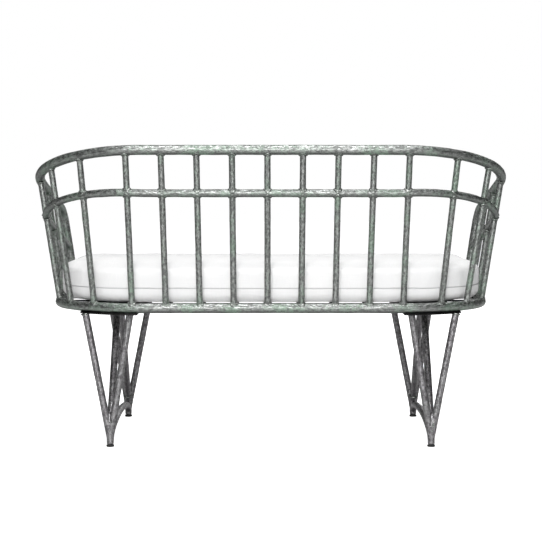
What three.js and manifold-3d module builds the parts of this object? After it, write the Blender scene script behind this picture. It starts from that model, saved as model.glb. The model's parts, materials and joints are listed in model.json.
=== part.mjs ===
// A small metal daybed: a bowed basket of spindles round three sides, two
// welded leg frames with inclined rods, a slatted deck and one loose cushion.
// Millimetres, +Z up. The sitter faces -Y and the high back is at +Y.
// The origin is on the floor, under the middle of the whole piece.
import * as THREE from 'three';
import { mergeVertices } from 'three/addons/utils/BufferGeometryUtils.js';
import Module from 'manifold-3d';

const wasm = await Module();
wasm.setup();

// Basket. Heights are to tube centrelines, above the floor.
const seatRailHeight = 366;
const topRailHeight = 768; // along the back
const midRailShare = 0.731; // of the way up from the seat rail to the top rail
const midRailCornerLift = 8; // how far the middle rail rises in the corners
const straightHalf = 322; // from the middle of the back to where a corner starts
const cornerRadius = 250; // seat rail, back corners
const postSetback = 550; // from the back of the seat rail to the front posts
const flareAngle = 8.6; // degrees the basket leans outwards all round
const armSlope = 0.27; // fall of the top and middle rails for each unit forwards
const postBendRadius = 55; // where the arm turns down into the front post
const frontCornerRadius = 40;
const seatRailOverrun = 16; // the side of the seat rail past the front post
const frontRailLead = 6; // straight at each end of the front rail

// Tube and bar sections
const topRailDiameter = 25.4;
const seatRailDiameter = 25.4;
const spindleDiameter = 16;
const midRailOverSpindle = 1.25; // diameters
const legRodDiameter = 19;
const gap = 0.3; // between pieces that touch

// Spindles
const backSpindlesPerSide = 4; // on each side of the middle one
const backPitchLow = 86.6; // along the seat rail
const backPitchHigh = 89; // along the top rail itself
const backSpindleShift = 8; // the back ones sit this far towards the right end
// degrees round the corner at the seat rail and the top rail, and their shifts
// towards the right end
const cornerSpindles = [
  { low: 29.9, high: 30.6, lowShift: 10, highShift: 5 },
  { low: 51.3, high: 53.6, lowShift: 11, highShift: 3 },
  { low: 79.6, high: 79.6, lowShift: 0, highShift: 0 },
];
const armSpindles = 2;

// Deck
const deckBarWidth = 22;
const deckBarThickness = 5;
const deckBarTopBelowRail = 3; // under the top of the seat rail
const deckStripWidth = 20;
const deckStripThickness = 4;
const deckStrips = 5;

// Legs
const plateInnerX = 341;
const plateWidth = 153;
const plateThickness = 5;
const plateEdgeOutside = 11; // past the centreline of the back rail
const footX = 418;
const rodSpread = 58.5; // half the distance between the tops of a foot's two rods
const rearTopsOutward = 4; // how far those tops sit outwards of the rear foot
const frontTopsOutward = -7;
const rearFootSetback = 50; // from the back of the seat rail
const footSpacing = 476; // between the rear and front feet
const footJoinHeight = 22; // where the two rods of a foot become one
const strutFootHeight = 46;
const strutReachShare = 0.42; // of the foot spacing, how far a strut leans in
const archRise = 40;
const archFootHeight = 16;
const glideHeight = 5;
const glideDiameter = 21;

// Cushion
const cushionThickness = 96;
const cushionClearance = 8.5; // from the centreline of the seat rail
const cushionPastPosts = 42; // past the centreline of the front posts
const cushionFrontRadius = 50;
const cushionEdgeRadius = 14;

const tubeSides = 12;
const rodSides = 10;
const straightStep = 120; // longest step along a straight tube
const bendStep = THREE.MathUtils.degToRad(9);
const tightBendStep = THREE.MathUtils.degToRad(13.5);
const midRailSteps = 3; // between two spindles where it bends
const plateEdgeSteps = 6;
const archSteps = 16;
const glideSides = 20;
const cushionCornerSteps = 6;
const cushionEdgeSteps = 3;
const cutterSize = 1000;
const weldTolerance = 1e-4;
const nearPoint = 1; // points closer than this are one

const flare = Math.tan(THREE.MathUtils.degToRad(flareAngle));
const seatRailRadius = seatRailDiameter / 2;
const topRailRadius = topRailDiameter / 2;
const spindleRadius = spindleDiameter / 2;
const midRailRadius = spindleRadius * midRailOverSpindle;
const legRodRadius = legRodDiameter / 2;
const sideX = straightHalf + cornerRadius;
const cornerArc = (cornerRadius * Math.PI) / 2;
const seatRailBottom = seatRailHeight - seatRailRadius * Math.cos(Math.PI / tubeSides);
const midRailHeight = seatRailHeight + midRailShare * (topRailHeight - seatRailHeight);
const deckTop = seatRailHeight + seatRailRadius - deckBarTopBelowRail;
const plateTop = seatRailBottom - gap;
const plateBottom = plateTop - plateThickness;

const paint = {
  iron: new THREE.MeshStandardMaterial({ color: 0x949a94, roughness: 0.55, metalness: 0.8 }),
  blackSteel: new THREE.MeshStandardMaterial({ color: 0x161617, roughness: 0.6, metalness: 0.5 }),
  glide: new THREE.MeshStandardMaterial({ color: 0x0d0d0e, roughness: 0.8, metalness: 0 }),
  canvas: new THREE.MeshStandardMaterial({ color: 0xf2f2f0, roughness: 0.95, metalness: 0 }),
};

// Solids from three.js geometry, and back

function solidFrom(geometry) {
  const bare = geometry.index ? geometry.toNonIndexed() : geometry.clone();
  bare.deleteAttribute('normal');
  bare.deleteAttribute('uv');
  const merged = mergeVertices(bare, weldTolerance);
  const mesh = new wasm.Mesh({
    numProp: 3,
    vertProperties: new Float32Array(merged.attributes.position.array),
    triVerts: new Uint32Array(merged.index.array),
  });
  return new wasm.Manifold(mesh);
}

function geometryFrom(solid) {
  const mesh = solid.getMesh();
  const geometry = new THREE.BufferGeometry();
  geometry.setAttribute('position', new THREE.BufferAttribute(mesh.vertProperties, 3));
  geometry.setIndex(new THREE.BufferAttribute(mesh.triVerts, 1));
  const flat = geometry.toNonIndexed();
  flat.computeVertexNormals();
  return flat;
}

function addPart(group, name, solid, material) {
  const mesh = new THREE.Mesh(geometryFrom(solid), material.clone());
  mesh.name = name;
  group.add(mesh);
}

function sectionShape(radius, sides) {
  const corners = [];
  for (let i = 0; i < sides; i += 1) {
    const angle = ((i + 0.5) / sides) * 2 * Math.PI;
    corners.push(new THREE.Vector2(radius * Math.cos(angle), radius * Math.sin(angle)));
  }
  return new THREE.Shape(corners);
}

// A path through given points, stepped exactly at them
class PolylinePath extends THREE.Curve {
  constructor(points) {
    super();
    this.points = points;
  }

  getPoint(t, target = new THREE.Vector3()) {
    const place = t * (this.points.length - 1);
    const index = Math.min(Math.floor(place), this.points.length - 2);
    return target.lerpVectors(this.points[index], this.points[index + 1], place - index);
  }

  getPointAt(t, target) {
    return this.getPoint(t, target);
  }

  getTangent(t, target = new THREE.Vector3()) {
    const count = this.points.length - 1;
    const index = Math.round(t * count);
    const before = this.points[Math.max(index - 1, 0)];
    const after = this.points[Math.min(index + 1, count)];
    return target.subVectors(after, before).normalize();
  }

  getTangentAt(t, target) {
    return this.getTangent(t, target);
  }
}

function tube(points, radius, sides) {
  const path = new PolylinePath(points);
  const geometry = new THREE.ExtrudeGeometry(sectionShape(radius, sides), {
    steps: points.length - 1,
    extrudePath: path,
    bevelEnabled: false,
  });
  return solidFrom(geometry);
}

function rod(start, end, radius, sides) {
  return tube([start, end], radius, sides);
}

function box(width, depth, height, x, y, z) {
  const geometry = new THREE.BoxGeometry(width, depth, height);
  geometry.translate(x, y, z);
  return solidFrom(geometry);
}

function slab(shape, thickness, bottom) {
  const geometry = new THREE.ExtrudeGeometry(shape, {
    depth: thickness,
    bevelEnabled: false,
  });
  geometry.translate(0, 0, bottom);
  return solidFrom(geometry);
}

// The basket is a surface that leans out by the flare angle above the seat
// rail. A station is a length along the right half of the seat rail, from the
// middle of its back. Here y is 0 at the back of the seat rail, falling forwards.

function outlinePoint(station, offset) {
  if (station <= straightHalf) {
    return new THREE.Vector2(station, offset);
  }
  const angle = (station - straightHalf) / cornerRadius;
  if (angle < Math.PI / 2) {
    const radius = cornerRadius + offset;
    return new THREE.Vector2(
      straightHalf + radius * Math.sin(angle),
      radius * Math.cos(angle) - cornerRadius,
    );
  }
  return new THREE.Vector2(sideX + offset, straightHalf + cornerArc - station - cornerRadius);
}

// The point at a station where the basket meets a rail's plane, which passes
// the given height at the back and falls forwards by the arm slope
function railPoint(station, backHeight) {
  const backOffset = flare * (backHeight - seatRailHeight);
  const low = outlinePoint(station, 0);
  const outer = outlinePoint(station, backOffset);
  const outwardY = (outer.y - low.y) / backOffset;
  const forwards = backOffset - low.y;
  const height = backHeight - seatRailHeight;
  const rise = (height - armSlope * forwards) / (1 - armSlope * flare * outwardY);
  const place = outlinePoint(station, flare * rise);
  return new THREE.Vector3(place.x, place.y, seatRailHeight + rise);
}

function seatRailPoint(station) {
  const place = outlinePoint(station, 0);
  return new THREE.Vector3(place.x, place.y, seatRailHeight);
}

// The station beside a length along the straight and corner of the top rail
function stationBesideTopRail(length) {
  const topOffset = flare * (topRailHeight - seatRailHeight);
  const past = Math.max(length - straightHalf, 0);
  return length - past + (past * cornerRadius) / (cornerRadius + topOffset);
}

function stationAtAngle(degrees) {
  return straightHalf + cornerRadius * THREE.MathUtils.degToRad(degrees);
}

const postStation = straightHalf + cornerArc + postSetback - cornerRadius;

// Stations from the middle of the back round to the given end
function halfStations(end) {
  const stations = [0];
  const straightSteps = Math.ceil(straightHalf / straightStep);
  for (let i = 1; i <= straightSteps; i += 1) {
    stations.push((straightHalf * i) / straightSteps);
  }
  const bendSteps = Math.ceil(Math.PI / 2 / bendStep);
  for (let i = 1; i <= bendSteps; i += 1) {
    stations.push(straightHalf + (cornerArc * i) / bendSteps);
  }
  const sideStart = straightHalf + cornerArc;
  const sideSteps = Math.ceil((end - sideStart) / straightStep);
  for (let i = 1; i <= sideSteps; i += 1) {
    stations.push(sideStart + ((end - sideStart) * i) / sideSteps);
  }
  return stations;
}

function mirrored(points) {
  const left = points.slice(1).map((p) => new THREE.Vector3(-p.x, p.y, p.z));
  return left.reverse().concat(points);
}

// Points round a bend between two straight directions
function bendPoints(before, corner, after, radius) {
  const inward = new THREE.Vector3().subVectors(before, corner).normalize();
  const onward = new THREE.Vector3().subVectors(after, corner).normalize();
  const half = inward.angleTo(onward) / 2;
  const setback = radius / Math.tan(half);
  const middle = new THREE.Vector3().addVectors(inward, onward).normalize();
  const centre = corner.clone().addScaledVector(middle, radius / Math.sin(half));
  const start = corner.clone().addScaledVector(inward, setback).sub(centre);
  const end = corner.clone().addScaledVector(onward, setback).sub(centre);
  const sweep = start.angleTo(end);
  const axis = new THREE.Vector3().crossVectors(start, end).normalize();
  const steps = Math.ceil(sweep / tightBendStep);
  const points = [];
  for (let i = 0; i <= steps; i += 1) {
    points.push(start.clone().applyAxisAngle(axis, (sweep * i) / steps).add(centre));
  }
  return points;
}

// Rails

function seatRailPath() {
  return mirrored(halfStations(postStation + seatRailOverrun).map(seatRailPoint));
}

function frontRailPath() {
  const start = seatRailPoint(postStation + seatRailOverrun + gap);
  const corner = start.clone();
  corner.y -= frontRailLead + frontCornerRadius;
  const middle = new THREE.Vector3(0, corner.y, seatRailHeight);
  const bend = bendPoints(start, corner, middle, frontCornerRadius);
  const straight = [];
  const inner = bend[bend.length - 1];
  const steps = Math.ceil(inner.x / straightStep);
  for (let i = steps - 1; i >= 0; i -= 1) {
    straight.push(new THREE.Vector3((inner.x * i) / steps, corner.y, seatRailHeight));
  }
  return mirrored([start].concat(bend, straight).reverse());
}

function postTop() {
  return railPoint(postStation, topRailHeight);
}

function topRailPath() {
  const arm = halfStations(postStation).map((s) => railPoint(s, topRailHeight));
  const corner = arm.pop();
  const foot = seatRailPoint(postStation);
  const bend = bendPoints(arm[arm.length - 1], corner, foot, postBendRadius);
  const start = bend[0];
  const kept = arm.filter((p) => p.y > start.y + nearPoint);
  return mirrored(kept.concat(bend, [foot]));
}

// Where the straight line of a spindle meets the middle rail
function midRailPoint(low, high) {
  const backOffset = flare * (midRailHeight - seatRailHeight);
  const across = Math.max(Math.abs(low.x) - straightHalf, 0);
  const round = Math.atan2(across, cornerRadius + low.y);
  const height = midRailHeight + midRailCornerLift * Math.max(Math.sin(2 * round), 0);
  const fall = (p) => p.z + armSlope * (backOffset - p.y) - height;
  const share = fall(low) / (fall(low) - fall(high));
  return new THREE.Vector3().lerpVectors(low, high, share);
}

// Spindles of one side, from the middle of the back round to the front post.
function sideSpindles(side) {
  const ends = [];
  for (let i = 0; i <= backSpindlesPerSide; i += 1) {
    const shift = side * backSpindleShift;
    ends.push([i * backPitchLow + shift, stationBesideTopRail(i * backPitchHigh + shift)]);
  }
  for (const { low, high, lowShift, highShift } of cornerSpindles) {
    ends.push([
      stationAtAngle(low) + side * lowShift,
      stationAtAngle(high) + side * highShift,
    ]);
  }
  const last = ends[ends.length - 1][0];
  for (let i = 1; i <= armSpindles; i += 1) {
    const station = last + ((postStation - last) * i) / (armSpindles + 1);
    ends.push([station, station]);
  }
  return ends.map(([lowStation, highStation]) => {
    const low = seatRailPoint(lowStation);
    const high = railPoint(highStation, topRailHeight);
    low.x *= side;
    high.x *= side;
    return { low, high };
  });
}

// The middle rail runs through every spindle, ending at the front posts
function midRailPath(rightSpindles, leftSpindles) {
  const postCrossing = midRailPoint(seatRailPoint(postStation), postTop());
  const right = rightSpindles.map((s) => midRailPoint(s.low, s.high));
  const left = leftSpindles.slice(1).map((s) => midRailPoint(s.low, s.high));
  const leftEnd = postCrossing.clone();
  leftEnd.x *= -1;
  const through = [leftEnd, ...left.reverse(), ...right, postCrossing];
  const curve = new THREE.CatmullRomCurve3(through, false, 'centripetal');
  const middle = leftSpindles.length;
  const straightSteps = backSpindlesPerSide - 1;
  const points = [];
  for (let i = 0; i < through.length - 1; i += 1) {
    const straight = i >= middle - straightSteps && i < middle + straightSteps;
    const steps = straight ? 1 : midRailSteps;
    for (let k = 0; k < steps; k += 1) {
      points.push(curve.getPoint((i + k / steps) / (through.length - 1)));
    }
  }
  points.push(postCrossing);
  return points;
}

const model = new THREE.Group();
const frame = new THREE.Group();
model.add(frame);

const seatPath = seatRailPath();
const frontPath = frontRailPath();
const topPath = topRailPath();
const spindles = { right: sideSpindles(1), left: sideSpindles(-1) };
const midPath = midRailPath(spindles.right, spindles.left);
const seatRailFit = tube(seatPath, seatRailRadius + gap, tubeSides);
const frontRailFit = tube(frontPath, seatRailRadius + gap, tubeSides);
const topRailFit = tube(topPath, topRailRadius + gap, tubeSides);

addPart(frame, 'seat_rail', tube(seatPath, seatRailRadius, tubeSides), paint.iron);
addPart(frame, 'front_rail', tube(frontPath, seatRailRadius, tubeSides), paint.iron);
addPart(
  frame,
  'top_rail_and_posts',
  tube(topPath, topRailRadius, tubeSides).subtract(seatRailFit),
  paint.iron,
);

// Each spindle is coped at both ends and passes through a hole in the middle rail
let midRail = tube(midPath, midRailRadius, rodSides).subtract(topRailFit);
for (const [end, row] of Object.entries(spindles)) {
  row.forEach(({ low, high }, index) => {
    if (index === 0 && end === 'left') {
      return;
    }
    const name = index === 0 ? 'spindle_middle' : `spindle_${end}_${index}`;
    const bar = rod(low, high, spindleRadius, rodSides);
    addPart(frame, name, bar.subtract(seatRailFit).subtract(topRailFit), paint.iron);
    midRail = midRail.subtract(rod(low, high, spindleRadius + gap, rodSides));
  });
}
addPart(frame, 'mid_rail', midRail, paint.iron);

// Deck: cross bars from the back rail to the front rail, over long strips
const frontY = frontPath[Math.floor(frontPath.length / 2)].y;
const barZ = deckTop - deckBarThickness / 2;
for (let i = -backSpindlesPerSide; i <= backSpindlesPerSide; i += 1) {
  const x = i * backPitchLow + backSpindleShift;
  const backY = outlinePoint(Math.abs(x), 0).y;
  const bar = box(deckBarWidth, backY - frontY, deckBarThickness, x, (backY + frontY) / 2, barZ);
  const name = `deck_bar_${i + backSpindlesPerSide + 1}`;
  addPart(frame, name, bar.subtract(seatRailFit).subtract(frontRailFit), paint.blackSteel);
}
const stripZ = deckTop - deckBarThickness - gap - deckStripThickness / 2;
for (let i = 1; i <= deckStrips; i += 1) {
  const y = (frontY * i) / (deckStrips + 1);
  const cut = Math.max(cornerRadius + y, 0);
  const reach = straightHalf + Math.sqrt(cornerRadius ** 2 - cut ** 2);
  const strip = box(2 * reach, deckStripWidth, deckStripThickness, 0, y, stripZ);
  addPart(frame, `deck_strip_${i}`, strip.subtract(seatRailFit), paint.blackSteel);
}

// Leg frames, one under each end
function platePlan(side) {
  const shape = new THREE.Shape();
  const outerX = plateInnerX + plateWidth;
  const frontEdge = frontY - plateEdgeOutside;
  const edgeRadius = cornerRadius + plateEdgeOutside;
  const steps = plateEdgeSteps;
  shape.moveTo(side * plateInnerX, frontEdge);
  shape.lineTo(side * outerX, frontEdge);
  for (let i = steps; i >= 0; i -= 1) {
    const x = plateInnerX + (plateWidth * i) / steps;
    const across = Math.max(x - straightHalf, 0);
    shape.lineTo(side * x, Math.sqrt(edgeRadius ** 2 - across ** 2) - cornerRadius);
  }
  return shape;
}

const rearFootY = -rearFootSetback;
const frontFootY = rearFootY - footSpacing;
const rodTop = plateBottom - gap;

function abovePlate(side, y) {
  const middle = rodTop + cutterSize / 2;
  return box(cutterSize, cutterSize, cutterSize, side * footX, y, middle);
}

function footRods(side, y, topsOutward, radius) {
  const x = side * footX;
  const topX = footX + topsOutward;
  const join = new THREE.Vector3(x, y, footJoinHeight);
  const outer = new THREE.Vector3(side * (topX + rodSpread), y, plateTop);
  const inner = new THREE.Vector3(side * (topX - rodSpread), y, plateTop);
  const stubLow = new THREE.Vector3(x, y, glideHeight + gap);
  const stubHigh = new THREE.Vector3(x, y, footJoinHeight + legRodRadius);
  return rod(join, outer, radius, tubeSides)
    .add(rod(join, inner, radius, tubeSides))
    .add(rod(stubLow, stubHigh, radius, tubeSides))
    .subtract(abovePlate(side, y));
}

function strut(side, y, inward, footFit) {
  const start = new THREE.Vector3(side * footX, y, strutFootHeight);
  const end = new THREE.Vector3(side * footX, y + inward * strutReachShare * footSpacing, plateTop);
  return rod(start, end, legRodRadius, tubeSides)
    .subtract(footFit)
    .subtract(abovePlate(side, y));
}

function arch(side, rearFit, frontFit) {
  const points = [];
  const middleY = (rearFootY + frontFootY) / 2;
  for (let i = 0; i <= archSteps; i += 1) {
    const angle = (Math.PI * i) / archSteps;
    const y = middleY + (footSpacing / 2) * Math.cos(angle);
    points.push(new THREE.Vector3(side * footX, y, archFootHeight + archRise * Math.sin(angle)));
  }
  return tube(points, legRodRadius, tubeSides).subtract(rearFit).subtract(frontFit);
}

function glide(x, y) {
  const geometry = new THREE.CylinderGeometry(
    glideDiameter / 2,
    glideDiameter / 2,
    glideHeight,
    glideSides,
  );
  geometry.rotateX(Math.PI / 2);
  geometry.translate(x, y, glideHeight / 2);
  return solidFrom(geometry);
}

for (const side of [1, -1]) {
  const end = side > 0 ? 'right' : 'left';
  const plate = slab(platePlan(side), plateThickness, plateBottom);
  addPart(frame, `leg_plate_${end}`, plate, paint.blackSteel);
  const feet = [
    { place: 'rear', y: rearFootY, topsOutward: rearTopsOutward, inward: -1 },
    { place: 'front', y: frontFootY, topsOutward: frontTopsOutward, inward: 1 },
  ];
  const fits = [];
  for (const { place, y, topsOutward, inward } of feet) {
    const fit = footRods(side, y, topsOutward, legRodRadius + gap);
    const rods = footRods(side, y, topsOutward, legRodRadius);
    addPart(frame, `leg_${place}_${end}`, rods, paint.iron);
    addPart(frame, `strut_${place}_${end}`, strut(side, y, inward, fit), paint.iron);
    addPart(frame, `glide_${place}_${end}`, glide(side * footX, y), paint.glide);
    fits.push(fit);
  }
  addPart(frame, `foot_arch_${end}`, arch(side, ...fits), paint.iron);
}

// Cushion: the inside of the basket in plan, with rounded edges
function cushionPlan() {
  const points = [];
  const lastY = -postSetback - cushionPastPosts;
  for (const station of halfStations(postStation)) {
    points.push(outlinePoint(station, -cushionClearance));
  }
  points.pop();
  const cornerX = sideX - cushionClearance - cushionFrontRadius;
  for (let i = 0; i <= cushionCornerSteps; i += 1) {
    const angle = (Math.PI / 2) * (i / cushionCornerSteps);
    points.push(new THREE.Vector2(
      cornerX + cushionFrontRadius * Math.cos(angle),
      lastY + cushionFrontRadius * (1 - Math.sin(angle)),
    ));
  }
  const left = points.slice(1).map((p) => new THREE.Vector2(-p.x, p.y));
  return new THREE.Shape(left.reverse().concat(points));
}

function cushion() {
  const geometry = new THREE.ExtrudeGeometry(cushionPlan(), {
    depth: cushionThickness - 2 * cushionEdgeRadius,
    bevelThickness: cushionEdgeRadius,
    bevelSize: cushionEdgeRadius,
    bevelOffset: -cushionEdgeRadius,
    bevelSegments: cushionEdgeSteps,
  });
  geometry.translate(0, 0, deckTop + gap + cushionEdgeRadius);
  return solidFrom(geometry);
}

addPart(frame, 'seat_cushion', cushion(), paint.canvas);

const bounds = new THREE.Box3().setFromObject(frame);
frame.position.y = -(bounds.min.y + bounds.max.y) / 2;

export default model;
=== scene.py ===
import json
import math
import random
import bpy
from mathutils import Matrix, Vector, noise


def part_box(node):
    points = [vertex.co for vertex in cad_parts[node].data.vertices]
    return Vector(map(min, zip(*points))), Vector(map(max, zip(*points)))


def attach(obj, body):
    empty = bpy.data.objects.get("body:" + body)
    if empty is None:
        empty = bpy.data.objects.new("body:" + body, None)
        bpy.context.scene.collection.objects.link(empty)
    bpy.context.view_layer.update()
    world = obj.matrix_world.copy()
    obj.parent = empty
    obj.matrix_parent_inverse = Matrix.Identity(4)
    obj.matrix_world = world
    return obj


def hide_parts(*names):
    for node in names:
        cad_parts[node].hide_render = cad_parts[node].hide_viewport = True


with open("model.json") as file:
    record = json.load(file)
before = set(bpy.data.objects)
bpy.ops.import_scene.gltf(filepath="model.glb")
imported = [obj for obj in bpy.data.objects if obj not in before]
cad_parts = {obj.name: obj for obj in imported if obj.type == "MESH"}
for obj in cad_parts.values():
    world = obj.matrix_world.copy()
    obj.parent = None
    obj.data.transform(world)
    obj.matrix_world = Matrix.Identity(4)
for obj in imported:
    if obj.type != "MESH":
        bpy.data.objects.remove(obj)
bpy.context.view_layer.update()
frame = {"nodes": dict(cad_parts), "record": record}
random.seed(7)
scene = bpy.context.scene


def clearSelection():
    if bpy.context.object and bpy.context.object.mode != "OBJECT":
        bpy.ops.object.mode_set(mode="OBJECT")
    bpy.ops.object.select_all(action="DESELECT")


def choose(piece):
    clearSelection()
    piece.select_set(True)
    bpy.context.view_layer.objects.active = piece


def settle(piece):
    # place, turn and scale go into the mesh
    choose(piece)
    bpy.ops.object.transform_apply(location=True, rotation=True, scale=True)


def outward(piece):
    choose(piece)
    bpy.ops.object.mode_set(mode="EDIT")
    bpy.ops.mesh.select_all(action="SELECT")
    bpy.ops.mesh.remove_doubles(threshold=1e-5)
    bpy.ops.mesh.normals_make_consistent(inside=False)
    bpy.ops.object.mode_set(mode="OBJECT")


def applyModifier(piece, kind, **settings):
    choose(piece)
    modifier = piece.modifiers.new(kind.lower(), kind)
    for name, value in settings.items():
        setattr(modifier, name, value)
    bpy.ops.object.modifier_apply(modifier=modifier.name)


def softShade(piece, degrees=40):
    choose(piece)
    bpy.ops.object.shade_smooth_by_angle(angle=math.radians(degrees))


def joinPieces(pieces, name):
    clearSelection()
    for piece in pieces:
        piece.select_set(True)
    bpy.context.view_layer.objects.active = pieces[0]
    bpy.ops.object.join()
    pieces[0].name = name
    return pieces[0]


def storeGrain(piece, places):
    # where each point lies on its bar when the bar is laid out straight
    layer = piece.data.attributes.new("grain", "FLOAT_VECTOR", "POINT")
    layer.data.foreach_set("vector", [number for place in places for number in place])


def finishPiece(piece, material, slot, body, *nodes):
    piece.data.materials.clear()
    piece.data.materials.append(material)
    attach(piece, body)
    if nodes:
        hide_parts(*nodes)


# camera

cameraLook = {
    "place": (-0.0008, 3.8934, 0.6914), "tiltDown": 3.636,
    "lens": 94.41, "sensor": 36, "farEnd": 100,
}

bpy.ops.object.camera_add(
    location=cameraLook["place"],
    rotation=(math.radians(90 - cameraLook["tiltDown"]), 0, math.pi),
)
camera = bpy.context.object
camera.data.lens = cameraLook["lens"]
camera.data.sensor_width = cameraLook["sensor"]
camera.data.clip_end = cameraLook["farEnd"]
scene.camera = camera
print("camera set")


# light and floor

studio = {
    "worldColour": (1.0, 1.0, 1.0),
    "seenStrength": 1.0, "fillStrength": 0.26, "mirroredStrength": 0.05,
    "keyPlace": (0.2, 4.3, 1.9), "keySize": 1.4, "keyPower": 178,
    "topPlace": (0.0, 0.6, 3.0), "topSize": 1.8, "topPower": 72,
    "frontPlace": (-0.9, -3.6, 2.2), "frontSize": 2.2, "frontPower": 45,
    "aimHeight": 0.4, "floorSize": 40, "floorRough": 0.9, "floorShine": 0.1,
    "floorColour": (0.88, 0.88, 0.88), "floorLift": 0.86,
}


def addSoftbox(name, place, size, power):
    bpy.ops.object.light_add(type="AREA", location=place)
    light = bpy.context.object
    light.name = name
    light.data.shape = "SQUARE"
    light.data.size = size
    light.data.energy = power
    aim = Vector((0, 0, studio["aimHeight"])) - Vector(place)
    light.rotation_euler = aim.to_track_quat("-Z", "Y").to_euler()


def makeStudio():
    world = bpy.data.worlds.new("studioWorld")
    scene.world = world
    world.use_nodes = True
    tree = world.node_tree
    background = tree.nodes["Background"]
    background.inputs["Color"].default_value = (*studio["worldColour"], 1)
    path = tree.nodes.new("ShaderNodeLightPath")
    lit = tree.nodes.new("ShaderNodeMix")
    lit.inputs["A"].default_value = studio["fillStrength"]
    lit.inputs["B"].default_value = studio["mirroredStrength"]
    tree.links.new(path.outputs["Is Glossy Ray"], lit.inputs["Factor"])
    strength = tree.nodes.new("ShaderNodeMix")
    strength.inputs["B"].default_value = studio["seenStrength"]
    tree.links.new(lit.outputs["Result"], strength.inputs["A"])
    tree.links.new(path.outputs["Is Camera Ray"], strength.inputs["Factor"])
    tree.links.new(strength.outputs["Result"], background.inputs["Strength"])
    addSoftbox("keyLight", studio["keyPlace"], studio["keySize"], studio["keyPower"])
    addSoftbox("topLight", studio["topPlace"], studio["topSize"], studio["topPower"])
    addSoftbox("frontLight", studio["frontPlace"], studio["frontSize"], studio["frontPower"])

    bpy.ops.mesh.primitive_plane_add(size=studio["floorSize"], location=(0, 0, 0))
    floor = bpy.context.object
    floor.name = "studioFloor"
    paint = bpy.data.materials.new("floorPaint")
    paint.use_nodes = True
    shader = paint.node_tree.nodes["Principled BSDF"]
    shader.inputs["Base Color"].default_value = (*studio["floorColour"], 1)
    shader.inputs["Roughness"].default_value = studio["floorRough"]
    shader.inputs["Specular IOR Level"].default_value = studio["floorShine"]
    shader.inputs["Emission Color"].default_value = (1, 1, 1, 1)
    seen = paint.node_tree.nodes.new("ShaderNodeLightPath")
    lift = paint.node_tree.nodes.new("ShaderNodeMath")
    lift.operation = "MULTIPLY"
    lift.inputs[1].default_value = studio["floorLift"]
    paint.node_tree.links.new(seen.outputs["Is Camera Ray"], lift.inputs[0])
    paint.node_tree.links.new(lift.outputs["Value"], shader.inputs["Emission Strength"])
    floor.data.materials.append(paint)
    scene.view_settings.view_transform = "Standard"


makeStudio()
print("studio lit")


# node helpers for the finishes

def wire(tree, fromNode, fromSocket, toNode, toSocket):
    tree.links.new(fromNode.outputs[fromSocket], toNode.inputs[toSocket])


def addNode(tree, kind, values=None, **settings):
    node = tree.nodes.new(kind)
    for name, value in settings.items():
        setattr(node, name, value)
    for name, value in (values or {}).items():
        node.inputs[name].default_value = value
    return node


def addNoise(tree, vector, scale, detail=3.0, rough=0.55, stretch=None):
    if stretch:
        mapping = addNode(tree, "ShaderNodeMapping", {"Scale": stretch})
        tree.links.new(vector, mapping.inputs["Vector"])
        vector = mapping.outputs["Vector"]
    node = addNode(
        tree, "ShaderNodeTexNoise", {"Scale": scale, "Detail": detail, "Roughness": rough}
    )
    tree.links.new(vector, node.inputs["Vector"])
    return node.outputs["Fac"]


def addRange(tree, value, low, high, toLow=0.0, toHigh=1.0):
    node = addNode(
        tree,
        "ShaderNodeMapRange",
        {"From Min": low, "From Max": high, "To Min": toLow, "To Max": toHigh},
        interpolation_type="SMOOTHSTEP",
    )
    tree.links.new(value, node.inputs["Value"])
    return node.outputs["Result"]


def addMath(tree, operation, first, second):
    node = addNode(tree, "ShaderNodeMath", operation=operation)
    for socket, value in zip(node.inputs, (first, second)):
        if isinstance(value, (int, float)):
            socket.default_value = value
        else:
            tree.links.new(value, socket)
    return node.outputs["Value"]


def addShares(tree, first, firstShare, second, secondShare):
    first = addMath(tree, "MULTIPLY", first, firstShare)
    second = addMath(tree, "MULTIPLY", second, secondShare)
    return addMath(tree, "ADD", first, second)


def addBlend(tree, share, first, second):
    node = addNode(tree, "ShaderNodeMix", data_type="RGBA")
    tree.links.new(share, node.inputs["Factor"])
    for socket, value in zip((node.inputs[6], node.inputs[7]), (first, second)):
        if isinstance(value, tuple):
            socket.default_value = (*value, 1)
        else:
            tree.links.new(value, socket)
    return node.outputs[2]


def newGroup(name, inputs, outputs):
    group = bpy.data.node_groups.new(name, "ShaderNodeTree")
    for label, kind, value in inputs:
        socket = group.interface.new_socket(name=label, in_out="INPUT", socket_type=kind)
        if value is not None:
            socket.default_value = value
    for label, kind in outputs:
        group.interface.new_socket(name=label, in_out="OUTPUT", socket_type=kind)
    start = group.nodes.new("NodeGroupInput")
    end = group.nodes.new("NodeGroupOutput")
    return group, start.outputs, end.inputs


ironGrain = {"broad": 9, "cloudy": 130, "fine": 340, "grit": 620, "streak": (80, 380, 380)}


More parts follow.
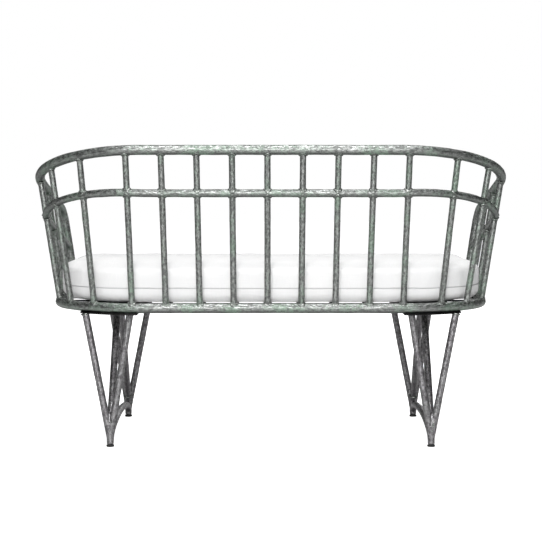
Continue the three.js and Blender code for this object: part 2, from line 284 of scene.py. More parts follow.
def makeAgedIronAndPaintedLight():
    # grey iron under a broken green bloom, stained in the hollows and rubbed where hands reach,
    # with painted shade on the downward faces and a painted highlight on the upward faces
    group, given, out = newGroup(
        "agedIronAndPaintedLight",
        [
            ("Place", "NodeSocketVector", None),
            ("Iron", "NodeSocketColor", (0.3, 0.32, 0.3, 1)),
            ("Stain And Shade", "NodeSocketColor", (0.05, 0.06, 0.055, 1)),
            ("Bloom", "NodeSocketColor", (0.4, 0.55, 0.43, 1)),
            ("Rubbed And Highlight", "NodeSocketColor", (0.75, 0.77, 0.74, 1)),
            ("Stain Amount", "NodeSocketFloat", 0.6),
            ("Bloom Amount", "NodeSocketFloat", 0.5),
            ("Rub And Highlight Amount", "NodeSocketFloat", 0.6),
        ],
        [
            ("Colour", "NodeSocketColor"),
            ("Roughness", "NodeSocketFloat"),
            ("Metallic", "NodeSocketFloat"),
            ("Height", "NodeSocketFloat"),
        ],
    )
    place = given["Place"]
    broad = addNoise(group, place, ironGrain["broad"], 2)
    cloudy = addNoise(group, place, ironGrain["cloudy"], 5, 0.6)
    fine = addNoise(group, place, ironGrain["fine"], 3, 0.65)
    streak = addNoise(group, place, 1, 4, 0.6, ironGrain["streak"])
    grit = addNoise(group, place, ironGrain["grit"], 2, 0.5)

    shape = addNode(group, "ShaderNodeNewGeometry")
    normal = addNode(group, "ShaderNodeSeparateXYZ")
    wire(group, shape, "Normal", normal, "Vector")
    upward = addRange(group, normal.outputs["Z"], -0.25, 0.75)
    downward = addRange(group, normal.outputs["Z"], -0.15, -0.85)

    tone = addShares(group, cloudy, 0.6, streak, 0.4)
    stainAndShadeMask = addRange(group, tone, 0.58, 0.42)
    stainAndShadeMask = addMath(group, "MULTIPLY", stainAndShadeMask, given["Stain Amount"])
    # painted shade: downward faces take the darkest colour, up to 0.85 of it, as shade under the
    # bars
    under = addMath(group, "MULTIPLY", downward, 0.85)
    stainAndShadeMask = addMath(group, "MAXIMUM", stainAndShadeMask, under)
    pits = addRange(group, grit, 0.62, 0.70)
    stainAndShadeMask = addMath(group, "MAXIMUM", stainAndShadeMask, addMath(group, "MULTIPLY", pits, 0.55))

    bloomField = addShares(group, broad, 0.55, cloudy, 0.45)
    bloomMask = addRange(group, bloomField, 0.46, 0.64)
    bloomMask = addMath(group, "MULTIPLY", bloomMask, addRange(group, fine, 0.36, 0.62, 0.35, 1.0))
    bloomMask = addMath(group, "MULTIPLY", bloomMask, given["Bloom Amount"])

    rubField = addShares(group, streak, 0.6, fine, 0.4)
    rubAndHighlightMask = addRange(group, rubField, 0.50, 0.62)
    # painted highlight: upward faces take much more of the rubbed colour than the rest, as light
    # from above would brighten them; the streaks themselves are real wear
    onTop = addMath(group, "ADD", addMath(group, "MULTIPLY", upward, 0.85), 0.12)
    rubAndHighlightMask = addMath(group, "MULTIPLY", rubAndHighlightMask, onTop)
    rubAndHighlightMask = addMath(group, "MULTIPLY", rubAndHighlightMask, given["Rub And Highlight Amount"])

    colour = addBlend(group, stainAndShadeMask, given["Iron"], given["Stain And Shade"])
    colour = addBlend(group, bloomMask, colour, given["Bloom"])
    colour = addBlend(group, rubAndHighlightMask, colour, given["Rubbed And Highlight"])
    group.links.new(colour, out["Colour"])

    roughness = addRange(group, rubAndHighlightMask, 0.0, 1.0, 0.46, 0.30)
    roughness = addMath(group, "ADD", roughness, addMath(group, "MULTIPLY", bloomMask, 0.18))
    group.links.new(roughness, out["Roughness"])
    metal = addMath(group, "SUBTRACT", 0.96, addMath(group, "MULTIPLY", bloomMask, 0.35))
    group.links.new(metal, out["Metallic"])
    height = addShares(group, cloudy, 0.6, fine, 0.3)
    height = addMath(group, "SUBTRACT", height, addMath(group, "MULTIPLY", pits, 0.35))
    group.links.new(height, out["Height"])
    return group


agedIronAndPaintedLight = makeAgedIronAndPaintedLight()

# in each finish the darkest colour is also painted as shade on downward faces, and the lightest
# colour also as a highlight on upward faces
railFinish = {
    "Iron": (0.255, 0.262, 0.255), "Stain And Shade": (0.035, 0.039, 0.036), "Bloom": (0.17, 0.27, 0.19),
    "Rubbed And Highlight": (0.74, 0.76, 0.75), "Stain Amount": 0.62, "Bloom Amount": 0.75, "Rub And Highlight Amount": 0.8,
}
legFinish = {
    "Iron": (0.25, 0.243, 0.25), "Stain And Shade": (0.045, 0.04, 0.045), "Bloom": (0.24, 0.26, 0.245),
    "Rubbed And Highlight": (0.6, 0.6, 0.61), "Stain Amount": 0.7, "Bloom Amount": 0.35, "Rub And Highlight Amount": 0.9,
}
weldFinish = {
    "Iron": (0.21, 0.225, 0.21), "Stain And Shade": (0.045, 0.05, 0.046), "Bloom": (0.22, 0.29, 0.23),
    "Rubbed And Highlight": (0.78, 0.8, 0.78), "Stain Amount": 0.6, "Bloom Amount": 0.4, "Rub And Highlight Amount": 1.0,
}
steelFinish = {
    "Iron": (0.012, 0.012, 0.012), "Stain And Shade": (0.006, 0.006, 0.006), "Bloom": (0.03, 0.028, 0.027),
    "Rubbed And Highlight": (0.09, 0.09, 0.092), "Stain Amount": 0.6, "Bloom Amount": 0.35, "Rub And Highlight Amount": 0.25,
}


def ironMaterial(name, finish, bump, byGrain=True):
    material = bpy.data.materials.new(name)
    material.use_nodes = True
    tree = material.node_tree
    shader = tree.nodes["Principled BSDF"]
    effect = addNode(tree, "ShaderNodeGroup", node_tree=agedIronAndPaintedLight)
    for label, value in finish.items():
        effect.inputs[label].default_value = (*value, 1) if isinstance(value, tuple) else value
    if byGrain:
        place = addNode(tree, "ShaderNodeAttribute", attribute_name="grain")
        wire(tree, place, "Vector", effect, "Place")
    else:
        place = addNode(tree, "ShaderNodeTexCoord")
        wire(tree, place, "Object", effect, "Place")
    relief = addNode(tree, "ShaderNodeBump", {"Strength": 0.8, "Distance": bump})
    wire(tree, effect, "Height", relief, "Height")
    wire(tree, relief, "Normal", shader, "Normal")
    wire(tree, effect, "Colour", shader, "Base Color")
    wire(tree, effect, "Roughness", shader, "Roughness")
    wire(tree, effect, "Metallic", shader, "Metallic")
    return material


railIron = ironMaterial("railIron", railFinish, 0.002)
legIron = ironMaterial("legIron", legFinish, 0.002)
weldIron = ironMaterial("weldIron", weldFinish, 0.0015)
blackSteel = ironMaterial("blackSteel", steelFinish, 0.0004, byGrain=False)


def makeRubber():
    material = bpy.data.materials.new("glideRubber")
    material.use_nodes = True
    tree = material.node_tree
    shader = tree.nodes["Principled BSDF"]
    place = addNode(tree, "ShaderNodeTexCoord")
    speck = addNoise(tree, place.outputs["Object"], 420, 3)
    dust = addRange(tree, speck, 0.5, 0.68)
    colour = addBlend(tree, dust, (0.010, 0.010, 0.010), (0.05, 0.05, 0.048))
    tree.links.new(colour, shader.inputs["Base Color"])
    tree.links.new(addRange(tree, speck, 0.3, 0.7, 0.6, 0.85), shader.inputs["Roughness"])
    return material


glideRubber = makeRubber()


def makeWeave():
    # plain weave: threads over and under, on each of the three faces of space
    group, given, out = newGroup(
        "plainWeave",
        [("Place", "NodeSocketVector", None), ("Threads", "NodeSocketFloat", 4200.0)],
        [("Height", "NodeSocketFloat"), ("Slub", "NodeSocketFloat")],
    )
    axes = addNode(group, "ShaderNodeSeparateXYZ")
    group.links.new(given["Place"], axes.inputs["Vector"])
    shape = addNode(group, "ShaderNodeNewGeometry")
    facing = addNode(group, "ShaderNodeSeparateXYZ")
    wire(group, shape, "Normal", facing, "Vector")

    def thread(axis):
        turn = addMath(group, "MULTIPLY", axes.outputs[axis], given["Threads"])
        return addMath(group, "SINE", turn, 0.0)

    waves = {axis: thread(axis) for axis in "XYZ"}
    weaves = []
    for across, along, normal in (("X", "Y", "Z"), ("X", "Z", "Y"), ("Y", "Z", "X")):
        woven = addMath(group, "MULTIPLY", waves[across], waves[along])
        share = addMath(group, "ABSOLUTE", facing.outputs[normal], 0.0)
        share = addMath(group, "POWER", share, 2.0)
        weaves.append(addMath(group, "MULTIPLY", woven, share))
    height = addMath(group, "ADD", addMath(group, "ADD", weaves[0], weaves[1]), weaves[2])
    group.links.new(height, out["Height"])
    lengthwise = addNoise(group, given["Place"], 1, 3, 0.6, (18, 700, 700))
    crosswise = addNoise(group, given["Place"], 1, 3, 0.6, (700, 18, 60))
    slub = addMath(group, "MULTIPLY", addMath(group, "ADD", lengthwise, crosswise), 0.5)
    group.links.new(slub, out["Slub"])
    return group


plainWeave = makeWeave()

# the seam colour is painted shade along the seam groove
canvasFinish = {
    "light": (0.67, 0.67, 0.668), "shade": (0.63, 0.63, 0.632), "seam": (0.42, 0.42, 0.43),
    "weaveBump": 0.00025, "sheen": 0.25, "shine": 0.25,
}


def makeCanvas():
    material = bpy.data.materials.new("cushionCanvas")
    material.use_nodes = True
    tree = material.node_tree
    shader = tree.nodes["Principled BSDF"]
    place = addNode(tree, "ShaderNodeTexCoord")
    weave = addNode(tree, "ShaderNodeGroup", node_tree=plainWeave)
    wire(tree, place, "Object", weave, "Place")
    patch = addNoise(tree, place.outputs["Object"], 5, 3)
    mottle = addMath(tree, "MULTIPLY", addMath(tree, "ADD", patch, weave.outputs["Slub"]), 0.5)
    share = addRange(tree, mottle, 0.42, 0.62)
    colour = addBlend(tree, share, canvasFinish["shade"], canvasFinish["light"])
    # painted shade along the seam groove, read from a point attribute
    seamShade = addNode(tree, "ShaderNodeAttribute", attribute_name="seamShade")
    colour = addBlend(tree, seamShade.outputs["Fac"], colour, canvasFinish["seam"])
    tree.links.new(colour, shader.inputs["Base Color"])
    tree.links.new(addRange(tree, mottle, 0.3, 0.7, 0.86, 0.96), shader.inputs["Roughness"])
    relief = addNode(
        tree, "ShaderNodeBump", {"Strength": 0.5, "Distance": canvasFinish["weaveBump"]}
    )
    wire(tree, weave, "Height", relief, "Height")
    wire(tree, relief, "Normal", shader, "Normal")
    shader.inputs["Sheen Weight"].default_value = canvasFinish["sheen"]
    shader.inputs["Specular IOR Level"].default_value = canvasFinish["shine"]
    return material


cushionCanvas = makeCanvas()
print("finishes mixed")


# the basket's lines: a surface that leans out above the seat rail

basket = {
    "seatHeight": 0.366, "midHeight": 0.65986, "topHeight": 0.768, "midCornerLift": 0.008,
    "straightHalf": 0.322, "cornerRadius": 0.25, "postSetback": 0.55,
    "flareAngle": 8.6, "armSlope": 0.27, "postBend": 0.055, "frontCorner": 0.04,
    "railOverrun": 0.016, "frontLead": 0.0063, "backLine": 0.2754,
    "pitchLow": 0.0866, "pitchHigh": 0.089, "shift": 0.008, "backSpindles": 4,
    "cornerSpindles": ((29.9, 30.6, 0.010, 0.005), (51.3, 53.6, 0.011, 0.003), (79.6, 79.6, 0, 0)),
    "armSpindles": 2, "step": 0.011,
}
tubes = {"top": 0.0127, "seat": 0.0126, "mid": 0.010, "spindle": 0.008, "leg": 0.0095}

lean = math.tan(math.radians(basket["flareAngle"]))
cornerArc = basket["cornerRadius"] * math.pi / 2
postStation = basket["straightHalf"] + cornerArc + basket["postSetback"] - basket["cornerRadius"]


def outlinePoint(station, offset):
    # a station is a length along the right half of the seat rail from the middle of the back
    half, radius = basket["straightHalf"], basket["cornerRadius"]
    if station <= half:
        return Vector((station, basket["backLine"] + offset))
    angle = (station - half) / radius
    if angle < math.pi / 2:
        out = radius + offset
        y = basket["backLine"] + out * math.cos(angle) - radius
        return Vector((half + out * math.sin(angle), y))
    y = basket["backLine"] + half + cornerArc - station - radius
    return Vector((half + radius + offset, y))


def seatPoint(station):
    place = outlinePoint(station, 0)
    return Vector((place.x, place.y, basket["seatHeight"]))


def railPoint(station, backHeight):
    rise = backHeight - basket["seatHeight"]
    low = outlinePoint(station, 0)
    out = outlinePoint(station, lean * rise)
    outwardY = (out.y - low.y) / (lean * rise)
    forwards = lean * rise + basket["backLine"] - low.y
    height = (rise - basket["armSlope"] * forwards) / (1 - basket["armSlope"] * lean * outwardY)
    place = outlinePoint(station, lean * height)
    return Vector((place.x, place.y, basket["seatHeight"] + height))


def stations(end):
    count = math.ceil(end / basket["step"])
    return [end * i / count for i in range(count + 1)]


def mirrored(points):
    left = [Vector((-p.x, p.y, p.z)) for p in points[1:]]
    return left[::-1] + points


def bendPoints(before, corner, after, radius):
    inward = (before - corner).normalized()
    onward = (after - corner).normalized()
    half = inward.angle(onward) / 2
    centre = corner + (inward + onward).normalized() * radius / math.sin(half)
    start = corner + inward * radius / math.tan(half) - centre
    end = corner + onward * radius / math.tan(half) - centre
    sweep = start.angle(end)
    axis = start.cross(end).normalized()
    count = math.ceil(sweep * radius / basket["step"]) + 2
    return [Matrix.Rotation(sweep * i / count, 3, axis) @ start + centre for i in range(count + 1)]


def evenSteps(start, end):
    count = max(math.ceil((end - start).length / basket["step"]), 1)
    return [start.lerp(end, i / count) for i in range(count + 1)]


def topRailPath():
    arm = [railPoint(s, basket["topHeight"]) for s in stations(postStation)]
    corner = arm.pop()
    foot = seatPoint(postStation)
    bend = bendPoints(arm[-1], corner, foot, basket["postBend"])
    kept = [p for p in arm if p.y > bend[0].y + basket["step"] / 2]
    return mirrored(kept + bend + evenSteps(bend[-1], foot)[1:])


def midHeight(station):
    turned = min(max((station - basket["straightHalf"]) / cornerArc, 0), 1)
    return basket["midHeight"] + basket["midCornerLift"] * math.sin(math.pi * turned)


def midRailPath():
    return mirrored([railPoint(s, midHeight(s)) for s in stations(postStation)])


def seatRailPath():
    return mirrored([seatPoint(s) for s in stations(postStation + basket["railOverrun"])])


def frontRailPath():
    start = seatPoint(postStation + basket["railOverrun"])
    corner = start - Vector((0, basket["frontLead"] + basket["frontCorner"], 0))
    middle = Vector((0, corner.y, corner.z))
    bend = bendPoints(start, corner, middle, basket["frontCorner"])
    return mirrored(([start] + bend + evenSteps(bend[-1], middle)[1:])[::-1])


def besideTopRail(length):
    leanOut = lean * (basket["topHeight"] - basket["seatHeight"])
    past = max(length - basket["straightHalf"], 0)
    return length - past + past * basket["cornerRadius"] / (basket["cornerRadius"] + leanOut)


def cornerStation(degrees):
    return basket["straightHalf"] + basket["cornerRadius"] * math.radians(degrees)


def spindleEnds(side):
    ends = []
    for i in range(basket["backSpindles"] + 1):
        shift = side * basket["shift"]
        highEnd = besideTopRail(i * basket["pitchHigh"] + shift)
        ends.append((i * basket["pitchLow"] + shift, highEnd))
    for low, high, lowShift, highShift in basket["cornerSpindles"]:
        ends.append((cornerStation(low) + side * lowShift, cornerStation(high) + side * highShift))
    last = ends[-1][0]
    for i in range(1, basket["armSpindles"] + 1):
        ends.append((last + (postStation - last) * i / (basket["armSpindles"] + 1),) * 2)
    turned = []
    for lowStation, highStation in ends:
        low, high = seatPoint(lowStation), railPoint(highStation, basket["topHeight"])
        low.x, high.x = low.x * side, high.x * side
        turned.append((low, high))
    return turned


# bars and tubes

hammer = bpy.data.textures.new("hammerMarks", "CLOUDS")
hammer.noise_scale = 0.035
hammer.noise_depth = 1
lumps = bpy.data.textures.new("weldLumps", "CLOUDS")
lumps.noise_scale = 0.006
handWork = {"rail": 0.0011, "spindle": 0.0009, "leg": 0.0010, "weld": 0.0022}
grainRun = 3  # metres of pattern that a bar may start in


def roughen(piece, texture, amount):
    applyModifier(
        piece, "DISPLACE", texture=texture, strength=amount, mid_level=0.5, texture_coords="GLOBAL"
    )


def drawTube(name, path, radius, sides=20):
    # a ring pushed from point to point and turned at each
    aims = []
    for i in range(len(path)):
        aims.append((path[min(i + 1, len(path) - 1)] - path[max(i - 1, 0)]).normalized())
    clearSelection()
    turn = aims[0].to_track_quat("Z", "Y").to_euler()
    bpy.ops.mesh.primitive_circle_add(
        vertices=sides, radius=radius, fill_type="NGON", location=path[0], rotation=turn
    )
    tube = bpy.context.object
    tube.name = name
    settle(tube)
    bpy.ops.object.mode_set(mode="EDIT")
    scene.cursor.rotation_mode = "QUATERNION"
    for i in range(1, len(path)):
        bpy.ops.mesh.extrude_region_move(TRANSFORM_OT_translate={"value": path[i] - path[i - 1]})
        axis = aims[i - 1].cross(aims[i])
        if axis.length > 1e-6:
            scene.cursor.rotation_quaternion = axis.to_track_quat("Z", "Y")
            bpy.ops.transform.rotate(
                value=-aims[i - 1].angle(aims[i]),
                orient_axis="Z", orient_type="CURSOR", center_override=path[i],
            )
    bpy.ops.object.mode_set(mode="OBJECT")
    grain, run = [], random.uniform(0, grainRun)
    for i in range(len(path)):
        run += (path[i] - path[i - 1]).length if i else 0
        for k in range(sides):
            angle = 2 * math.pi * k / sides
            grain.append((run, radius * math.cos(angle), radius * math.sin(angle)))
    storeGrain(tube, grain)
    outward(tube)
    return tube


def drawRod(name, start, end, radius, sides=16, rings=30):
    aim = end - start
    clearSelection()
    bpy.ops.mesh.primitive_cylinder_add(
        vertices=sides, radius=radius, depth=aim.length,
        location=start.lerp(end, 0.5), rotation=aim.to_track_quat("Z", "Y").to_euler(),
    )
    rod = bpy.context.object
    rod.name = name
    settle(rod)
    line = aim.normalized()
    # its long edges are cut into rings
    bpy.ops.object.mode_set(mode="EDIT")
    bpy.ops.mesh.select_all(action="DESELECT")
    bpy.ops.object.mode_set(mode="OBJECT")
    for edge in rod.data.edges:
        first, second = (rod.data.vertices[k].co for k in edge.vertices)
        edge.select = (second - first).length > aim.length * 0.9
    bpy.ops.object.mode_set(mode="EDIT")
    bpy.ops.mesh.select_mode(type="EDGE")
    bpy.ops.mesh.subdivide(number_cuts=rings)
    bpy.ops.object.mode_set(mode="OBJECT")
    offset = random.uniform(0, grainRun)
    across = line.orthogonal().normalized()
    other = line.cross(across)
    grain = []
    for v in rod.data.vertices:
        place = v.co - start
        grain.append((place.dot(line) + offset, place.dot(across), place.dot(other)))
    storeGrain(rod, grain)
    return rod


def makeRails():
    rails = (
        ("railTop", topRailPath(), tubes["top"], "top_rail_and_posts"),
        ("railMiddle", midRailPath(), tubes["mid"], "mid_rail"),
        ("railSeat", seatRailPath(), tubes["seat"], "seat_rail"),
        ("railFront", frontRailPath(), tubes["seat"], "front_rail"),
    )
    for name, path, radius, node in rails:
        rail = drawTube(name, path, radius)
        roughen(rail, hammer, handWork["rail"])
        softShade(rail, 50)
        finishPiece(rail, railIron, "patinated_iron", "frame", node)


makeRails()
print("rails bent")


def makeSpindles():
    for side, end in ((1, "right"), (-1, "left")):
        for index, (low, high) in enumerate(spindleEnds(side)):
            if index == 0 and side < 0:
                continue
            node = f"spindle_{end}_{index}" if index else "spindle_middle"
            rod = drawRod("bar." + node, low, high, tubes["spindle"])
            roughen(rod, hammer, handWork["spindle"])
            softShade(rod, 50)
            finishPiece(rod, railIron, "patinated_iron", "frame", node)


makeSpindles()
print("spindles set")

# welds

weldLook = {
    "thick": 0.0026, "segments": 20, "rings": 8, "hug": 0.25, "wrap": 0.96,
    "buttInset": 0.0012, "topInset": 0.001, "strutStart": 0.06,
}


def addBead(place, aim, along, hole, railRadius):
    # a bead round a bar where it leaves a rail, bent to the rail's curve
    clearSelection()
    thick = weldLook["thick"] * random.uniform(0.85, 1.2)
    bpy.ops.mesh.primitive_torus_add(
        major_radius=hole + thick * weldLook["hug"], minor_radius=thick,
        major_segments=weldLook["segments"], minor_segments=weldLook["rings"],
    )
    bead = bpy.context.object
    sideways = aim.cross(along).normalized()
    ahead = sideways.cross(aim).normalized()
    turn = Matrix((ahead, sideways, aim)).transposed()
    for v in bead.data.vertices:
        if railRadius:
            reach = min(abs(v.co.y), railRadius * weldLook["wrap"])
            v.co.z += math.sqrt(railRadius**2 - reach**2)
        v.co = turn @ v.co + place
    bead.data.update()
    return bead


def finishBeads(beads, name, slot):
    welds = joinPieces(beads, name)
    outward(welds)
    roughen(welds, lumps, handWork["weld"])
    softShade(welds, 60)
    storeGrain(welds, [v.co for v in welds.data.vertices])
    finishPiece(welds, weldIron, slot, "frame")


def midCrossing(low, high):
    # where a bar's straight line meets the middle rail
    backOut = lean * (basket["midHeight"] - basket["seatHeight"])
    across = max(abs(low.x) - basket["straightHalf"], 0)
    turned = math.atan2(across, basket["cornerRadius"] + low.y - basket["backLine"])
    height = basket["midHeight"] + basket["midCornerLift"] * max(math.sin(2 * turned), 0)

    def above(p):
        return p.z + basket["armSlope"] * (basket["backLine"] + backOut - p.y) - height

    return low.lerp(high, above(low) / (above(low) - above(high)))


def alongRail(path, place):
    near = min(range(len(path)), key=lambda i: (path[i] - place).length)
    return (path[min(near + 1, len(path) - 1)] - path[max(near - 1, 0)]).normalized()


def makeBasketWelds():
    paths = {"top": topRailPath(), "mid": midRailPath(), "seat": seatRailPath()}
    beads = {"top": [], "mid": [], "seat": []}
    for side in (1, -1):
        for index, (low, high) in enumerate(spindleEnds(side)):
            if index == 0 and side < 0:
                continue
            up = (high - low).normalized()
            cross = midCrossing(low, high)
            for rail, place, aim in (
                ("seat", low, up), ("top", high, -up), ("mid", cross, up), ("mid", cross, -up),
            ):
                along = alongRail(paths[rail], place)
                beads[rail].append(addBead(place, aim, along, tubes["spindle"], tubes[rail]))
        foot = seatPoint(postStation)
        knee = railPoint(postStation, basket["topHeight"])
        foot.x, knee.x = foot.x * side, knee.x * side
        up = (knee - foot).normalized()
        beads["seat"].append(addBead(foot, up, Vector((0, 1, 0)), tubes["top"], tubes["seat"]))
        cross = midCrossing(foot, knee)
        rail = alongRail(paths["mid"], cross)
        back = rail if rail.y > 0 else -rail
        beads["mid"].append(addBead(cross, back, up, tubes["mid"], tubes["top"]))
        joint = seatPoint(postStation + basket["railOverrun"])
        joint.x *= side
        butt = tubes["seat"] - weldLook["buttInset"]
        beads["seat"].append(addBead(joint, Vector((0, 1, 0)), up, butt, 0))
    finishBeads(beads["top"], "weldsTop", "patinated_iron")
    finishBeads(beads["mid"], "weldsMiddle", "patinated_iron")
    finishBeads(beads["seat"], "weldsSeat", "patinated_iron")


makeBasketWelds()
print("basket welded")


# deck and plates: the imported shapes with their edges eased

easedEdge = {"bar": 0.0008, "strip": 0.0007, "plate": 0.0009}


def mergedCopy(node, name):
    piece = bpy.data.objects.new(name, frame["nodes"][node].data.copy())
    scene.collection.objects.link(piece)
    choose(piece)
    bpy.ops.object.mode_set(mode="EDIT")
    bpy.ops.mesh.select_all(action="SELECT")
    bpy.ops.mesh.remove_doubles(threshold=1e-5)
    bpy.ops.mesh.dissolve_limited(angle_limit=math.radians(1))
    bpy.ops.object.mode_set(mode="OBJECT")
    return piece


def makeDeck():
    nodes = [f"deck_bar_{i}" for i in range(1, 10)] + [f"deck_strip_{i}" for i in range(1, 6)]
    for node in nodes + ["leg_plate_right", "leg_plate_left"]:
        kind = "plate" if "plate" in node else node.split("_")[1]
        piece = mergedCopy(node, "flat." + node)
        applyModifier(piece, "BEVEL", width=easedEdge[kind], segments=2, limit_method="ANGLE")
        softShade(piece, 35)
        finishPiece(piece, blackSteel, "black_steel", "frame", node)


makeDeck()
print("deck laid")


# legs

legs = {
    "spread": 0.0585, "rearOut": 0.004, "frontOut": -0.007, "joinHeight": 0.022,
    "strutHeight": 0.046, "strutReach": 0.2, "archRise": 0.04, "archHeight": 0.016,
    "top": 0.3481, "plateSkin": 0.0053, "bottom": 0.0053, "filletVoxel": 0.0024,
}


def feet():
    for mount in frame["record"]["mounts"]:
        if mount["name"].startswith("floor_"):
            place, end = mount["name"].split("_")[1:]
            yield place, end, Vector(mount["pos_m"])


def makeLegs():
    beads = []
    sideways = Vector((1, 0, 0))
    for place, end, spot in feet():
        side = 1 if end == "right" else -1
        outShift = legs["rearOut"] if place == "rear" else legs["frontOut"]
        join = Vector((spot.x, spot.y, legs["joinHeight"]))
        rods = []
        for spread in (legs["spread"], -legs["spread"]):
            topX = side * (abs(spot.x) + outShift + spread)
            plateTop = Vector((topX, spot.y, legs["top"] + legs["plateSkin"]))
            top = join.lerp(plateTop, (legs["top"] - join.z) / (plateTop.z - join.z))
            rods.append(drawRod("rod", join, top, tubes["leg"]))
            aim = (join - top).normalized()
            beads.append(addBead(top + aim * weldLook["topInset"], aim, sideways, tubes["leg"], 0))
        low = Vector((spot.x, spot.y, legs["bottom"]))
        stubTop = join + Vector((0, 0, tubes["leg"]))
        rods.append(drawRod("stub", low, stubTop, tubes["leg"], rings=4))
        foot = joinPieces(rods, f"foot.{place}.{end}")
        applyModifier(
            foot, "REMESH", mode="VOXEL", voxel_size=legs["filletVoxel"], use_smooth_shade=True
        )
        applyModifier(foot, "SMOOTH", factor=0.6, iterations=4)
        roughen(foot, hammer, handWork["leg"])
        choose(foot)
        bpy.ops.object.shade_smooth()
        storeGrain(foot, [(v.co.z + spot.y * 3, v.co.x, v.co.y) for v in foot.data.vertices])
        finishPiece(foot, legIron, "leg_iron", "frame", f"leg_{place}_{end}")

        inward = -1 if place == "rear" else 1
        start = Vector((spot.x, spot.y, legs["strutHeight"]))
        plateEnd = Vector(
            (spot.x, spot.y + inward * legs["strutReach"], legs["top"] + legs["plateSkin"])
        )
        stop = start.lerp(plateEnd, (legs["top"] - start.z) / (plateEnd.z - start.z))
        strut = drawRod(f"strut.{place}.{end}", start, stop, tubes["leg"])
        roughen(strut, hammer, handWork["leg"])
        softShade(strut, 50)
        finishPiece(strut, legIron, "leg_iron", "frame", f"strut_{place}_{end}")
        aim = (start - stop).normalized()
        beads.append(addBead(stop + aim * weldLook["topInset"], aim, sideways, tubes["leg"], 0))
        low = start.lerp(stop, weldLook["strutStart"])
        beads.append(addBead(low, aim, sideways, tubes["leg"], 0))
    finishBeads(beads, "weldsLegs", "leg_iron")


spatter = {"count": 6, "size": 0.0018, "heights": (0.030, 0.066), "aside": 0.006, "sunk": 0.0008}


def makeSpatter():
    # small drops of weld on the outer face of each foot
    drops = []
    for place, end, spot in feet():
        facing = 1 if place == "rear" else -1
        for _ in range(spatter["count"]):
            clearSelection()
            size = spatter["size"] * random.uniform(0.6, 1.3)
            bpy.ops.mesh.primitive_ico_sphere_add(subdivisions=2, radius=size)
            drop = bpy.context.object
            height = random.uniform(*spatter["heights"])
            drop.scale = (random.uniform(0.8, 1.5), 0.7, random.uniform(0.9, 1.8))
            drop.location = (
                spot.x + random.uniform(-spatter["aside"], spatter["aside"]),
                spot.y + facing * (tubes["leg"] - spatter["sunk"]),
                height,
            )
            settle(drop)
            drops.append(drop)
    finishBeads(drops, "weldSpatter", "leg_iron")


archSteps = 48


def makeArches():
    spots = {(place, end): spot for place, end, spot in feet()}
    for end in ("right", "left"):
        rear, front = spots["rear", end], spots["front", end]
        middle = (rear + front) / 2
        path = []
        for i in range(archSteps + 1):
            angle = math.pi * i / archSteps
            y = middle.y + (rear.y - front.y) / 2 * math.cos(angle)
            z = legs["archHeight"] + legs["archRise"] * math.sin(angle)
            path.append(Vector((rear.x, y, z)))
        arch = drawTube(f"arch.{end}", path, tubes["leg"])
        roughen(arch, hammer, handWork["leg"])
        softShade(arch, 50)
        finishPiece(arch, legIron, "leg_iron", "frame", f"foot_arch_{end}")


glideLook = {"height": 0.005, "radius": 0.0105, "lip": 0.0012, "sides": 28}


def makeGlides():
    # one is modelled at the origin and a copy goes under each foot
    clearSelection()
    bpy.ops.mesh.primitive_cylinder_add(
        vertices=glideLook["sides"], radius=glideLook["radius"], depth=glideLook["height"],
        location=(0, 0, glideLook["height"] / 2),
    )
    first = bpy.context.object
    settle(first)
    applyModifier(first, "BEVEL", width=glideLook["lip"], segments=3, limit_method="ANGLE")
    softShade(first, 40)
    for place, end, spot in feet():
        choose(first)
        bpy.ops.object.duplicate(linked=False)
        glide = bpy.context.object
        glide.name = f"glide.{place}.{end}"
        glide.location = (spot.x, spot.y, 0)
        settle(glide)
        finishPiece(glide, glideRubber, "glide_rubber", "frame", f"glide_{place}_{end}")
    choose(first)
    bpy.ops.object.delete()


makeLegs()
makeSpatter()
makeArches()
makeGlides()
print("legs welded")


# cushion

cushionShape = {
    "voxel": 0.0075, "shrink": (1.022, 0.998, 0.93), "pressure": 4.0, "frames": 20,
    "mostSwell": 0.011, "seamDepth": 0.0045, "seamHalf": 0.0014, "seamBelowMiddle": 0.009,
    "pucker": 0.0022, "puckerScale": (14, 14, 5), "gatherReach": 0.03, "offDeck": 0.0002,
    "lowEdgeLift": 0.007, "lowEdgeReach": 0.03, "spindleRoom": 0.0095,
    "postLine": basket["backLine"] - basket["postSetback"],
    "postReach": 0.036, "postExtra": 0.0085,
}


def inflate(piece):
    start = [v.co.copy() for v in piece.data.vertices]
    choose(piece)
    cloth = piece.modifiers.new("cloth", "CLOTH")
    cloth.settings.quality = 4
    cloth.settings.use_pressure = True
    cloth.settings.uniform_pressure_force = cushionShape["pressure"]
    cloth.settings.effector_weights.gravity = 0
    scene.frame_start = 1
    for number in range(1, cushionShape["frames"] + 1):
        scene.frame_set(number)
    bpy.ops.object.modifier_apply(modifier=cloth.name)
    scene.frame_set(1)
    for v, before in zip(piece.data.vertices, start):
        move = v.co - before
        if move.length > cushionShape["mostSwell"]:
            v.co = before + move * (cushionShape["mostSwell"] / move.length)


def keepOffSpindles(place):
    # nothing passes the inner side of the basket at its height, and the front posts are thicker
    middle = basket["straightHalf"]
    reach = basket["cornerRadius"] - cushionShape["spindleRoom"]
    fromPost = abs(place.y - cushionShape["postLine"]) / cushionShape["postReach"]
    reach -= cushionShape["postExtra"] * max(0, 1 - fromPost**2)
    reach += lean * (place.z - basket["seatHeight"])
    centreY = basket["backLine"] - basket["cornerRadius"]
    across = math.copysign(max(abs(place.x) - middle, 0), place.x)
    back = max(place.y - centreY, 0)
    past = math.hypot(across, back) / reach
    if past > 1:
        place.x -= across * (1 - 1 / past)
        place.y -= back * (1 - 1 / past)


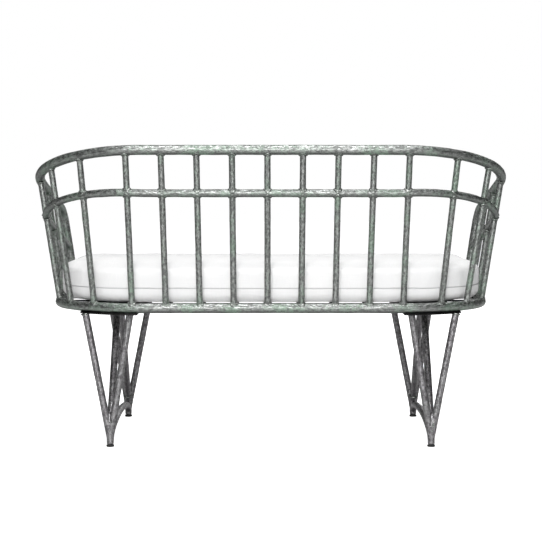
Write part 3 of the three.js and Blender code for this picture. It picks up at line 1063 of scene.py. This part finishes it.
def makeCushion():
    lo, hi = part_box("seat_cushion")
    lo, hi = Vector(lo), Vector(hi)
    centre = (lo + hi) / 2
    piece = mergedCopy("seat_cushion", "cushionCover")
    bpy.ops.object.mode_set(mode="EDIT")
    bpy.ops.mesh.select_all(action="SELECT")
    bpy.ops.transform.resize(value=cushionShape["shrink"], center_override=centre)
    bpy.ops.object.mode_set(mode="OBJECT")
    applyModifier(piece, "REMESH", mode="VOXEL", voxel_size=cushionShape["voxel"])
    inflate(piece)
    applyModifier(piece, "SMOOTH", factor=0.5, iterations=3)
    applyModifier(piece, "SUBSURF", levels=1, render_levels=1)

    # the seam round the middle: rings cut in, the middle one drawn inwards
    seam = centre.z - cushionShape["seamBelowMiddle"]
    choose(piece)
    bpy.ops.object.mode_set(mode="EDIT")
    half = cushionShape["seamHalf"]
    for height in (seam - 3 * half, seam - half, seam, seam + half, seam + 3 * half):
        bpy.ops.mesh.select_all(action="SELECT")
        bpy.ops.mesh.bisect(plane_co=(0, 0, height), plane_no=(0, 0, 1))
    bpy.ops.object.mode_set(mode="OBJECT")
    # it gathers a little beside the seam and along the edges
    gather = cushionShape["gatherReach"]
    normals = [v.normal.copy() for v in piece.data.vertices]
    for v, normal in zip(piece.data.vertices, normals):
        edge = max(0.0, 1 - abs(abs(v.co.z - seam) - gather) / gather)
        along = Vector([at * scale for at, scale in zip(v.co, cushionShape["puckerScale"])])
        move = noise.noise(along) * cushionShape["pucker"] * (0.5 + edge)
        if abs(v.co.z - seam) < half * 0.1:
            move -= cushionShape["seamDepth"]
        low = max(0.0, 1 - (v.co.z - lo.z) / cushionShape["lowEdgeReach"])
        sideways = math.hypot(normal.x, normal.y)
        v.co += normal * move
        lift = cushionShape["lowEdgeLift"] * low * sideways
        v.co.z = max(v.co.z, lo.z + cushionShape["offDeck"]) + lift
        keepOffSpindles(v.co)
    piece.data.update()
    # painted shade: points near the middle ring of the seam darken the canvas, for the shade in
    # the groove
    grooveShade = piece.data.attributes.new("seamShade", "FLOAT", "POINT")
    grooveShade.data.foreach_set(
        "value", [max(0.0, 1 - abs(v.co.z - seam) / (half * 1.5)) for v in piece.data.vertices]
    )
    choose(piece)
    bpy.ops.object.shade_smooth()
    finishPiece(piece, cushionCanvas, "cushion_canvas", "cushion", "seat_cushion")


makeCushion()
print("cushion filled")
